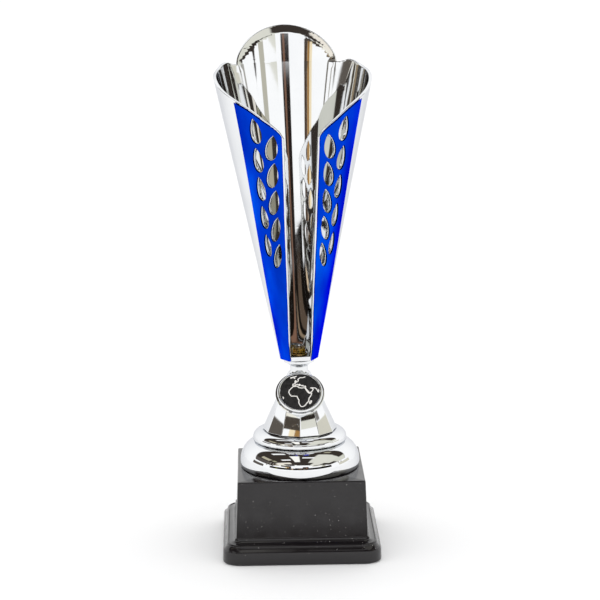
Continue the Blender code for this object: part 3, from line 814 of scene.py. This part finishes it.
def leafOutlines(side, wider=0.0):
    # five leaves in each of two columns, tips up and leaning apart, on the unrolled wall
    outlines = []
    sizes = wingSizes
    for row in range(sizes["leafRows"]):
        share = row / (sizes["leafRows"] - 1)
        width = sizes["leafWidthFirst"] + (sizes["leafWidthLast"] - sizes["leafWidthFirst"]) * share
        for tip, foot, tipGain, footGain in sizes["leafColumns"]:
            high = Vector(flatPoint(side * (tip[0] + tipGain[0] * share), tip[1] + tipGain[1] * share))
            low = Vector(flatPoint(side * (foot[0] + footGain[0] * share), foot[1] + footGain[1] * share))
            along = high - low
            across = Vector((along.y, -along.x)).normalized()
            reach = 1 + 2 * wider / along.length
            points = []
            for step in range(36):
                turn = 2 * math.pi * step / 36
                bulge = 0.5 * math.sin(turn) * (0.5 - 0.5 * math.cos(turn)) ** sizes["leafSharpness"]
                middle = (high + low) / 2 + along * 0.5 * reach * math.cos(turn)
                points.append(middle + across * bulge * (width + 2 * wider))
            outlines.append(points)
    return outlines


def sheetMesh(outline, holes, thickness, rounding, baseOffset):
    # a flat plate with openings and rounded edges, cut into small cells and wrapped round the cup
    plate = bpy.data.curves.new("plate", "CURVE")
    plate.dimensions = "2D"
    plate.fill_mode = "BOTH"
    plate.extrude = thickness / 2 - rounding
    plate.bevel_depth = rounding
    plate.bevel_resolution = 2
    plate.offset = -rounding
    for points in [outline] + holes:
        spline = plate.splines.new("POLY")
        spline.points.add(len(points) - 1)
        for target, point in zip(spline.points, points):
            target.co = (point[0], point[1], 0, 1)
        spline.use_cyclic_u = True
    holder = bpy.data.objects.new("plate", plate)
    bpy.context.scene.collection.objects.link(holder)
    bpy.context.view_layer.update()
    mesh = bakeObject(holder)
    work = bmesh.new()
    work.from_mesh(mesh)
    angles = [math.degrees(vert.co.x / coneRadius(vert.co.y)) for vert in work.verts]
    heights = [vert.co.y for vert in work.verts]
    step = cupSizes["columnStep"]
    column = math.ceil(min(angles) / step) * step
    while column < max(angles):
        # a line of constant angle is straight on the unrolled wall
        low = Vector((*flatPoint(column, cupSizes["bottom"]), 0))
        high = Vector((*flatPoint(column, 0.30), 0))
        direction = (high - low).normalized()
        bmesh.ops.bisect_plane(work, geom=work.verts[:] + work.edges[:] + work.faces[:], dist=cutDistance,
                               plane_co=low, plane_no=Vector((direction.y, -direction.x, 0)))
        column += step
    row = min(heights) + cupSizes["rowStep"]
    while row < max(heights):
        bmesh.ops.bisect_plane(work, geom=work.verts[:] + work.edges[:] + work.faces[:], dist=cutDistance,
                               plane_co=(0, row, 0), plane_no=(0, 1, 0))
        row += cupSizes["rowStep"] if row < cupSizes["notchHeight"] - 0.004 else cupSizes["rowStepTop"]
    # painted shade: marks the vertices on the openings' rounded edges and walls for the blue lacquer to
    # darken
    shade = work.verts.layers.float.new("openingEdgeShade")
    rims = [Vector((point[0], point[1], 0)) for points in holes for point in points]
    openings = KDTree(max(len(rims), 1))
    for index, point in enumerate(rims):
        openings.insert(point, index)
    openings.balance()
    for vert in work.verts:
        angle = math.degrees(vert.co.x / coneRadius(vert.co.y))
        if abs(vert.co.z) < thickness / 2 - 0.00001 and holes:
            nearest = openings.find(Vector((vert.co.x, vert.co.y, 0)))[2]
            vert[shade] = 1.0 if nearest < rounding + wingSizes["paintedShadeWidth"] else 0.0
        vert.co = cupPlace @ wallPoint(angle, vert.co.y, baseOffset + vert.co.z)
    work.to_mesh(mesh)
    work.free()
    return mesh


def makeCupShell():
    sizes = cupSizes
    slotBottom = sizes["bottom"] + sizes["lipHeight"]
    side = []
    for step in range(41):
        height = sizes["bottom"] + (rimPoints[0][1] - sizes["bottom"]) * step / 40
        side.append((slotAngle(height), height))
    rim = []
    angle = sizes["slotTopAngle"] + 0.5
    while angle < 180:
        rim.append((angle, rimHeight(angle)))
        angle += 0.5 if angle < 24 or sizes["notchAngle"] - 6 < angle < sizes["notchAngle"] + 12 else 2.0
    right = [flatPoint(*point) for point in side + rim]
    left = [flatPoint(360 - angle, height) for angle, height in (side + rim)[::-1]]
    holes = leafOutlines(1) + [[Vector((math.tau * coneRadius(p.y) + p.x, p.y)) for p in leaf]
                               for leaf in leafOutlines(-1)]
    wall = sheetMesh(right + left, holes, sizes["wall"], sizes["edgeRounding"], -sizes["wall"] / 2)
    lipOutline = [flatPoint(angle, sizes["bottom"]) for angle in (-30, -15, 0, 15, 30)]
    lipOutline += [flatPoint(angle, slotBottom) for angle in (30, 15, 0, -15, -30)]
    lip = sheetMesh(lipOutline, [], sizes["wall"], sizes["edgeRounding"], -sizes["wall"] / 2)
    floorOutline = bmesh.new()
    reach = sizes["bottomRadius"] - sizes["floorInset"]
    middle = sizes["bottom"] + sizes["wall"] / 2 + sizes["floorLift"]
    bmesh.ops.create_cone(floorOutline, cap_ends=True, segments=6, radius1=reach,
                          radius2=reach + sizes["floorDraft"], depth=sizes["wall"],
                          matrix=cupPlace @ Matrix.Translation((0, 0, middle))
                          @ Matrix.Rotation(math.radians(30), 4, "Z"))
    floorMesh = bpy.data.meshes.new("cupFloor")
    floorOutline.to_mesh(floorMesh)
    floorOutline.free()
    newPiece("cupShell", joinMeshes([wall, lip, floorMesh]), chrome, "cup", ["cup_shell"], 32)


def makeWings():
    sizes = wingSizes
    for side, node, name in ((-1, "wing_skin_left", "wingLeft"), (1, "wing_skin_right", "wingRight")):
        inner = []
        outer = []
        startTop = cupSizes["slotTopAngle"] + math.degrees(sizes["margin"] / sizes["rimRadius"])
        bottom = cupSizes["bottom"] + sizes["footGap"]
        for step in range(41):
            share = step / 40
            innerTop = rimHeight(startTop) - sizes["margin"]
            outerTop = rimHeight(sizes["outerAngle"]) - sizes["margin"]
            low = bottom + (innerTop - bottom) * share
            margin = sizes["margin"] * min(1, sizes["marginFoot"] + (low - bottom) / sizes["marginRise"])
            inner.append((slotAngle(low) + math.degrees(margin / coneRadius(low)), low))
            high = bottom + (outerTop - bottom) * share
            outer.append((wingAngle(high), high))
        top = []
        for step in range(1, 30):
            angle = startTop + (sizes["outerAngle"] - startTop) * step / 30
            top.append((angle, rimHeight(angle) - sizes["margin"]))
        outline = [flatPoint(side * angle, height) for angle, height in inner + top + outer[::-1]]
        mesh = sheetMesh(outline, leafOutlines(side, sizes["leafRim"]), sizes["thickness"],
                         sizes["edgeRounding"], sizes["gap"] + sizes["thickness"] / 2)
        newPiece(name, mesh, blueLacquer, "cup", [node], 32)


makeCupShell()
makeWings()
print("cup done")


# collar and cup fixings
collarSizes = {
    "top": cupSizes["bottom"] - cupSizes["fitGap"],
    "bottom": 0.1027,
    "rimRadius": 0.0086,
    "rimHeight": 0.0015,
    "footRadius": 0.0058,
    "bore": 0.0023,
}


def makeCollar():
    sizes = collarSizes
    top, rim = sizes["top"], sizes["rimRadius"]
    profile = roundedProfile([(sizes["bore"], top, 0), (rim, top, 0.0003),
                              (rim, top - sizes["rimHeight"], 0.0003),
                              (rim - 0.0012, top - sizes["rimHeight"] - 0.0005, 0.0003),
                              (sizes["footRadius"], sizes["bottom"], 0.0003),
                              (sizes["bore"], sizes["bottom"], 0)])
    newPiece("cupCollar", turnedMesh(profile, 72, cupPlace), chrome, "cup", ["cup_collar"], 45)


makeCollar()

fixingSizes = {
    "acrossFlats": 0.0070,
    "bore": 0.0023,
    "chamfer": 0.0004,
    "nutHeight": 0.0032,
    "washerRadius": 0.0045,
    "washerThickness": 0.0008,
    "threadPitch": 0.0007,
    "threadDepth": 0.00035,
    "rodRadius": 0.0020,
}


def makeFixings():
    sizes = fixingSizes
    floorTop = cupSizes["bottom"] + cupSizes["wall"] + cupSizes["fitGap"]
    washerTop = floorTop + sizes["washerThickness"]
    nutBottom = washerTop + cupSizes["fitGap"]
    nutTop = nutBottom + sizes["nutHeight"]
    corner = sizes["acrossFlats"] / math.sqrt(3)
    rings = []
    for height, chamfered in ((nutBottom, True), (nutBottom + sizes["chamfer"], False),
                              (nutTop - sizes["chamfer"], False), (nutTop, True)):
        ring = []
        for step in range(48):
            angle = 2 * math.pi * step / 48
            folded = (math.degrees(2 * math.pi * step / 48) + 30) % 60 - 30
            flat = sizes["acrossFlats"] / 2 / math.cos(math.radians(folded))
            reach = min(flat, sizes["acrossFlats"] / 2 * 0.98) if chamfered else min(flat, corner)
            ring.append((reach * math.cos(angle), reach * math.sin(angle), height))
        rings.append(ring)
    nut = loftRings(rings)
    nut.transform(cupPlace)
    newPiece("cupNut", nut, yellowZinc, "cup", ["cup_nut"], 30)
    radius = sizes["washerRadius"]
    washer = roundedProfile([(sizes["bore"], washerTop, 0.0001), (radius, washerTop, 0.0002),
                             (radius, floorTop, 0.0002), (sizes["bore"], floorTop, 0.0001)])
    newPiece("cupWasher", turnedMesh(washer, 64, cupPlace), yellowZinc, "cup", ["cup_washer"])
    rodLow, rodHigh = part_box("tie_rod")
    core = turnedMesh([(0, rodHigh[2]), (sizes["rodRadius"] - sizes["threadDepth"], rodHigh[2]),
                       (sizes["rodRadius"] - sizes["threadDepth"], rodLow[2]), (0, rodLow[2])], 32)
    # the thread: a spiral with a three-cornered section wound round the core
    tree, given = newTree("rodThread", (("Radius", "NodeSocketFloat"), ("Turns", "NodeSocketFloat"),
                                        ("Length", "NodeSocketFloat"), ("Depth", "NodeSocketFloat"),
                                        ("Bottom", "NodeSocketFloat")))
    spiral = addNode(tree, "GeometryNodeCurveSpiral",
                     {"Resolution": 20, "Rotations": given["Turns"], "Start Radius": given["Radius"],
                      "End Radius": given["Radius"], "Height": given["Length"]})
    section = addNode(tree, "GeometryNodeCurvePrimitiveCircle", {"Resolution": 3, "Radius": given["Depth"]})
    wound = addNode(tree, "GeometryNodeCurveToMesh",
                    {"Curve": spiral.outputs["Curve"], "Profile Curve": section.outputs["Curve"],
                     "Fill Caps": True})
    place = addNode(tree, "ShaderNodeCombineXYZ", {"Z": given["Bottom"]})
    seated = addNode(tree, "GeometryNodeTransform", {"Geometry": wound.outputs["Mesh"],
                                                     "Translation": place.outputs["Vector"]})
    finishTree(tree, seated.outputs["Geometry"], brightZinc)
    length = rodHigh[2] - rodLow[2] - 2 * sizes["threadPitch"]
    thread = grow(tree, {"Radius": sizes["rodRadius"] - sizes["threadDepth"],
                         "Turns": length / sizes["threadPitch"], "Length": length,
                         "Depth": sizes["threadDepth"],
                         "Bottom": rodLow[2] + sizes["threadPitch"]})
    newPiece("tieRod", joinMeshes([core, thread]), brightZinc, "base", ["tie_rod"], 60)


makeFixings()

carriedFinishes = {
    "bottom_sheet": blackCard,
    "ballast_block": castCement,
    "emblem_pad": foamTape,
    "plinth_washer": brightZinc,
    "plinth_nut": brightZinc,
}
for node, finish in carriedFinishes.items():
    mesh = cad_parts[node].data
    mesh.materials.clear()
    mesh.materials.append(finish)
print("fixings and hidden pieces done")


# floor, light, camera
stageSizes = {
    "floorRadius": 14.0,
    "floorDrop": 0.0002,
    "worldStrength": 1.14,
    "lowestCeiling": 0.02,
    "cameraDistance": 1.128,
    "cameraHeight": 0.3739,
    "cameraPitch": -11.757,
    "cameraRoll": -0.5,
    "cameraAzimuth": 1.4,
    "aimShift": 0.0008,
    "lens": 124.7,
    "sensor": 36.0,
}


def makeFloor():
    material, tree, shader = newMaterial("whitePaperFloor", "FBFBFB", 0.0, 0.9)
    coords = addNode(tree, "ShaderNodeTexCoord").outputs["Object"]
    fibre = addNode(tree, "ShaderNodeTexNoise", {"Vector": coords, "Scale": 200.0}).outputs["Fac"]
    bump = addNode(tree, "ShaderNodeBump", {"Height": fibre, "Strength": 0.02, "Distance": 0.0001})
    setInputs(shader, {"Normal": bump.outputs["Normal"]})
    work = bmesh.new()
    bmesh.ops.create_circle(work, cap_ends=True, segments=96, radius=stageSizes["floorRadius"])
    mesh = bpy.data.meshes.new("paperFloor")
    work.to_mesh(mesh)
    work.free()
    floor = bpy.data.objects.new("paperFloor", mesh)
    mesh.materials.append(material)
    bpy.context.scene.collection.objects.link(floor)
    floor.location = (0, 0, -stageSizes["floorDrop"])


# what a mirror sees of the studio: spans are degrees (azimuth from the front, elevation) for "walls",
# and distances on a ceiling one unit up (right, towards the front) for "ceiling"; the last number
# is how soft the patch's edge is
studioPatches = [
    ("ceiling", (-3.05, 3.05), (-0.66, 1.85), "38322D", 0.05),
    ("ceiling", (-3.05, -1.70), (-0.66, 1.00), "5A5450", 0.20),
    ("ceiling", (-1.50, -1.12), (-0.20, 0.45), "B9B29C", 0.05),
    ("ceiling", (-1.30, -1.05), (0.55, 0.80), "A5A38B", 0.05),
    ("ceiling", (-1.70, -1.02), (1.22, 2.10), "F1EDE0", 0.06),
    ("ceiling", (-1.40, -0.45), (0.98, 1.36), "EFE8DC", 0.04),
    ("ceiling", (-2.20, -1.75), (1.50, 1.85), "A08E74", 0.05),
    ("ceiling", (0.62, 2.00), (-0.10, 2.10), "DCDBD0", 0.08),
    ("ceiling", (0.34, 0.90), (-0.14, 1.10), "DCDBD0", 0.06),
    ("ceiling", (0.40, 0.58), (-0.48, -0.32), "A5A08C", 0.03),
    ("ceiling", (1.60, 3.05), (-0.66, 0.60), "D6D6CA", 0.20),
    ("ceiling", (1.38, 2.05), (1.15, 2.00), "2A2521", 0.05),
    ("ceiling", (-0.45, -0.25), (1.68, 1.90), "F8F5EC", 0.04),
    ("ceiling", (-0.56, -0.24), (-0.32, -0.16), "FFFFFF", 0.02),
    ("ceiling", (-0.64, -0.30), (0.46, 0.62), "FFFFFF", 0.02),
    ("ceiling", (0.06, 0.30), (-0.66, -0.50), "FFFFFF", 0.02),
    ("ceiling", (0.05, 0.36), (0.20, 0.34), "FFFFFF", 0.02),
    ("ceiling", (-0.22, -0.02), (0.05, 0.90), "FFFDF6", 0.03),
    ("walls", (-62.0, -10.5), (5.5, 13.1), "14100D", 0.06),
    ("walls", (-10.5, 9.0), (5.5, 14.6), "14100D", 0.06),
    ("walls", (9.0, 62.0), (5.5, 13.6), "14100D", 0.3),
    ("walls", (-105.0, -77.0), (4.0, 12.7), "5C5650", 0.5),
    ("walls", (80.0, 110.0), (4.0, 12.2), "D2CFC1", 0.5),
    ("walls", (-17.5, -15.0), (5.5, 13.3), "C9B294", 0.6),
    ("walls", (-5.0, 2.6), (5.5, 13.6), "57493D", 1.2),
    ("walls", (5.6, 7.6), (5.5, 12.6), "86745F", 0.8),
    ("walls", (-50.0, -46.0), (5.5, 12.0), "6B6A2C", 1.0),
    ("walls", (4.0, 15.5), (13.6, 19.4), "231D1B", 0.8),
    ("walls", (10.0, 13.0), (10.0, 19.4), "7A5B4A", 0.8),
    ("walls", (42.0, 50.0), (13.6, 19.4), "B9B6A8", 0.8),
    ("walls", (-23.5, -19.0), (13.1, 19.4), "4B3B2E", 0.8),
    ("walls", (-27.2, -23.5), (13.1, 19.4), "A37C48", 0.8),
    ("walls", (-30.8, -27.2), (13.1, 19.4), "F3E2BE", 0.8),
    ("walls", (-58.5, -56.0), (13.6, 29.0), "77736C", 0.6),
    ("walls", (-65.0, -63.5), (13.6, 29.0), "9A968E", 0.6),
    ("walls", (-72.0, -69.0), (13.6, 29.0), "6A665F", 0.6),
    ("walls", (79.0, 82.0), (12.6, 18.0), "A8A6A0", 0.6),
    ("walls", (86.0, 89.0), (12.6, 16.0), "7C7974", 0.6),
    ("walls", (-40.0, -19.0), (18.15, 24.0), "4A433C", 0.1),
    ("walls", (-29.4, -29.1), (19.9, 20.2), "FFF3DC", 0.1),
    ("walls", (-28.2, -27.8), (20.5, 20.7), "FFE9C4", 0.1),
    ("walls", (-26.6, -26.4), (20.9, 21.2), "FFFFFF", 0.1),
    ("walls", (-25.7, -25.2), (20.2, 20.4), "FFF3DC", 0.1),
    ("walls", (23.0, 45.0), (18.35, 22.5), "DCDBD0", 0.1),
    ("walls", (26.0, 43.0), (22.3, 24.7), "2A2521", 0.3),
    ("walls", (-30.0, -12.0), (25.5, 29.0), "45413C", 0.3),
]


def makeWorld():
    world = bpy.data.worlds.new("paperStudio")
    bpy.context.scene.world = world
    world.use_nodes = True
    tree = world.node_tree
    tree.nodes.clear()
    direction = addNode(tree, "ShaderNodeTexCoord").outputs["Generated"]
    parts = addNode(tree, "ShaderNodeSeparateXYZ", {"Vector": direction}).outputs
    front = addNode(tree, "ShaderNodeMath", {0: parts["Y"], 1: -1.0}, operation="MULTIPLY").outputs[0]
    height = addNode(tree, "ShaderNodeMath", {0: parts["Z"], 1: stageSizes["lowestCeiling"]},
                     operation="MAXIMUM").outputs[0]
    azimuth = addNode(tree, "ShaderNodeMath", {0: parts["X"], 1: front}, operation="ARCTAN2").outputs[0]
    elevation = addNode(tree, "ShaderNodeMath", {0: parts["Z"]}, operation="ARCSINE").outputs[0]
    planes = {
        "ceiling": [addNode(tree, "ShaderNodeMath", {0: value, 1: height}, operation="DIVIDE").outputs[0]
                    for value in (parts["X"], front)],
        "walls": [addNode(tree, "ShaderNodeMath", {0: value}, operation="DEGREES").outputs[0]
                  for value in (azimuth, elevation)],
    }
    colour = (1.0, 1.0, 1.0, 1.0)
    for plane, across, up, code, softness in studioPatches:
        mask = 1.0
        for value, span in zip(planes[plane], (across, up)):
            for at, before, after in ((span[0], 0.0, 1.0), (span[1], 1.0, 0.0)):
                edge = addNode(tree, "ShaderNodeMapRange",
                               {"Value": value, "From Min": at - softness / 2, "From Max": at + softness / 2,
                                "To Min": before, "To Max": after}).outputs["Result"]
                mask = addNode(tree, "ShaderNodeMath", {0: mask, 1: edge},
                               operation="MULTIPLY").outputs[0]
        colour = addNode(tree, "ShaderNodeMix", {0: mask, 6: colour, 7: linearColour(code)},
                         data_type="RGBA").outputs[2]
    # only mirrored rays see the patches; the rest of the light is even and white
    strength = stageSizes["worldStrength"]
    seen = addNode(tree, "ShaderNodeBackground", {"Color": colour, "Strength": strength})
    plain = addNode(tree, "ShaderNodeBackground", {"Color": (1, 1, 1, 1), "Strength": strength})
    path = addNode(tree, "ShaderNodeLightPath")
    blend = addNode(tree, "ShaderNodeMixShader", {0: path.outputs["Is Glossy Ray"], 1: plain.outputs[0],
                                                  2: seen.outputs[0]})
    addNode(tree, "ShaderNodeOutputWorld", {"Surface": blend.outputs[0]})


def makeCamera():
    sizes = stageSizes
    azimuth = math.radians(sizes["cameraAzimuth"])
    lens = bpy.data.cameras.new("studioCamera")
    lens.lens = sizes["lens"]
    lens.sensor_width = sizes["sensor"]
    lens.clip_end = 100
    camera = bpy.data.objects.new("studioCamera", lens)
    bpy.context.scene.collection.objects.link(camera)
    place = Matrix.Rotation(-azimuth, 4, "Z")
    place = place @ Matrix.Translation((0, -sizes["cameraDistance"], sizes["cameraHeight"]))
    place = place @ Matrix.Translation((sizes["aimShift"], 0, 0))
    place = place @ Matrix.Rotation(math.radians(90 + sizes["cameraPitch"]), 4, "X")
    camera.matrix_world = place @ Matrix.Rotation(math.radians(sizes["cameraRoll"]), 4, "Z")
    bpy.context.scene.camera = camera


makeFloor()
makeWorld()
makeCamera()
bpy.context.scene.view_settings.view_transform = "Standard"
print("stage done")
